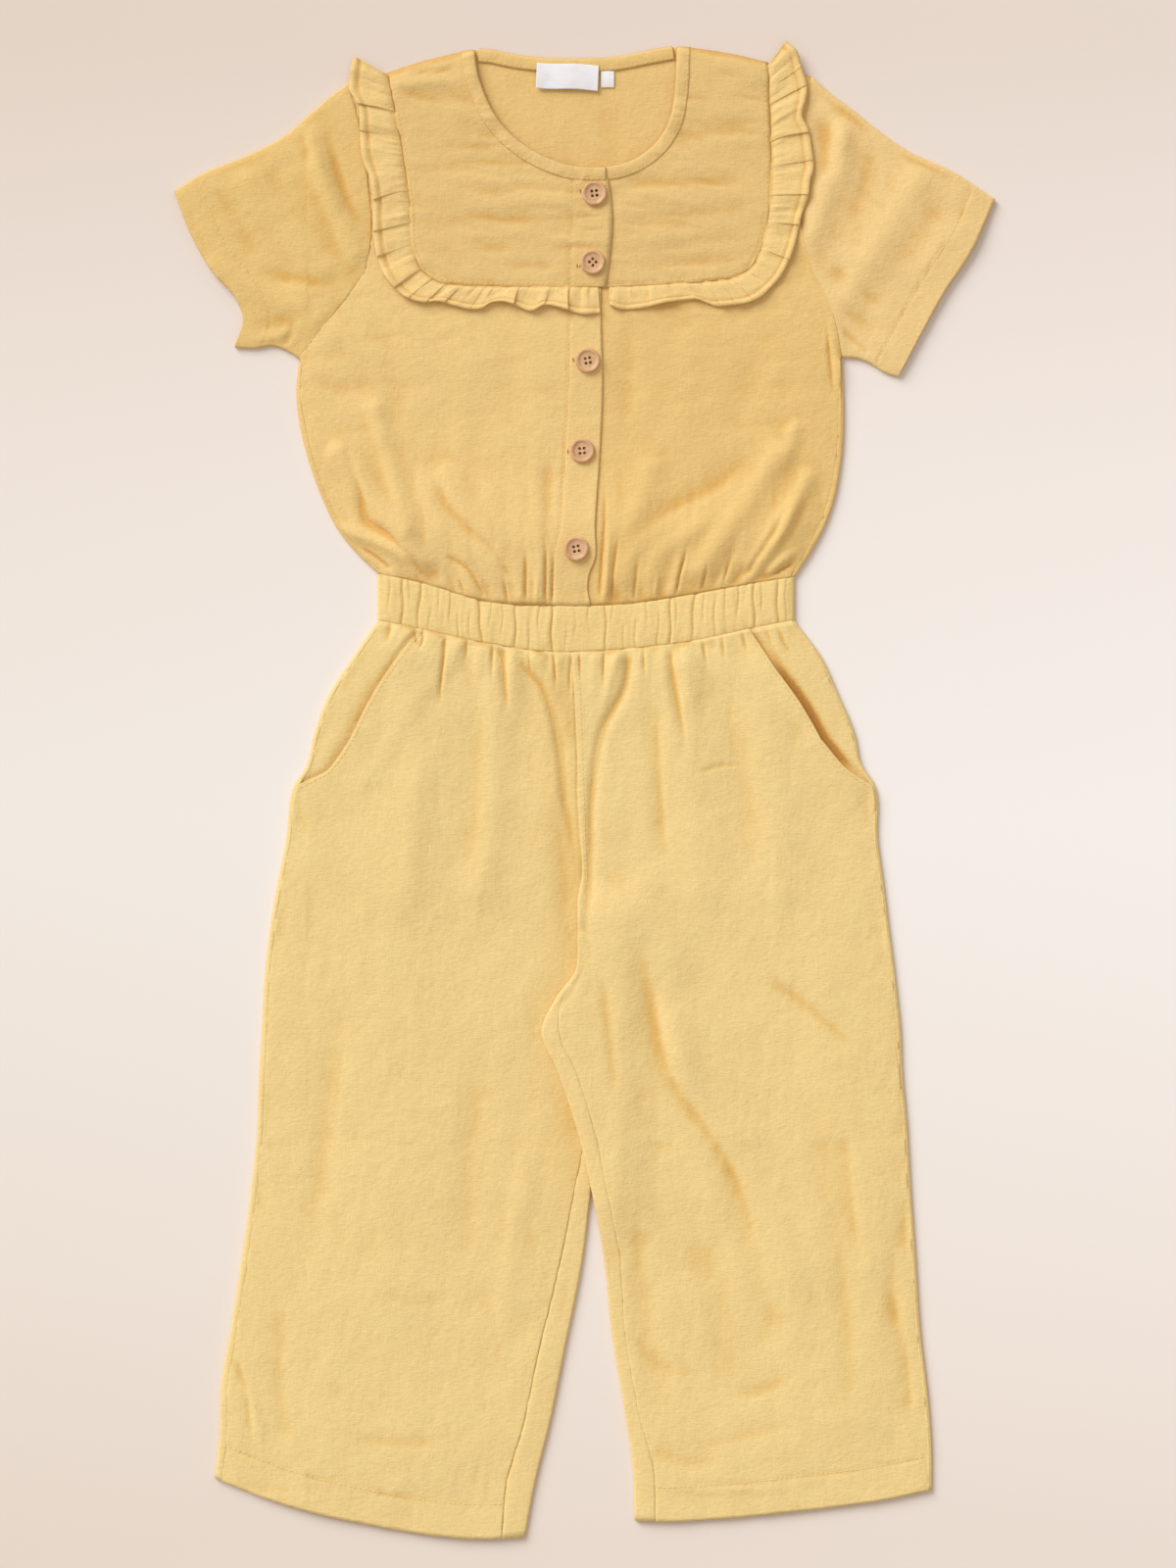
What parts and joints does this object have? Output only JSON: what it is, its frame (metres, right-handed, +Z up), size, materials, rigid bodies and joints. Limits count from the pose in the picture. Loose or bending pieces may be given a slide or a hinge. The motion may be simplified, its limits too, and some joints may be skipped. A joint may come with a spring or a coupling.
{
  "type": "child's jumpsuit, laid flat",
  "caption": "Child's short-sleeved jumpsuit laid flat: ruffled yoke, buttoned front, gathered waistband, slanted pockets and wide cropped legs.",
  "frame": {"origin": "middle of the box round the laid-out garment, on the surface that it lies on", "axes": "+X to the right and +Y towards the neck as seen from above, +Z up from the surface"},
  "size_m": [0.5026, 0.9161, 0.012],
  "materials": {
    "cotton": "matt crinkled golden-yellow cotton with a slubby plain weave",
    "button_wood": "light turned wood, satin",
    "label_tape": "blank off-white woven tape"
  },
  "bodies": {
    "root": {"back_bodice": "cotton", "front_left": "cotton", "front_right": "cotton", "yoke_left": "cotton", "yoke_right": "cotton", "neck_binding_left": "cotton", "neck_binding_right": "cotton", "neck_binding_back": "cotton", "ruffle_left": "cotton", "ruffle_right": "cotton", "sleeve_left": "cotton", "sleeve_right": "cotton", "waistband": "cotton", "leg_front_left": "cotton", "leg_front_right": "cotton", "leg_back_left": "cotton", "leg_back_right": "cotton", "pocket_left": "cotton", "pocket_right": "cotton", "button_1": "button_wood", "button_2": "button_wood", "button_3": "button_wood", "button_4": "button_wood", "button_5": "button_wood", "neck_label": "label_tape", "size_tag": "label_tape"}
  },
  "joints": []
}
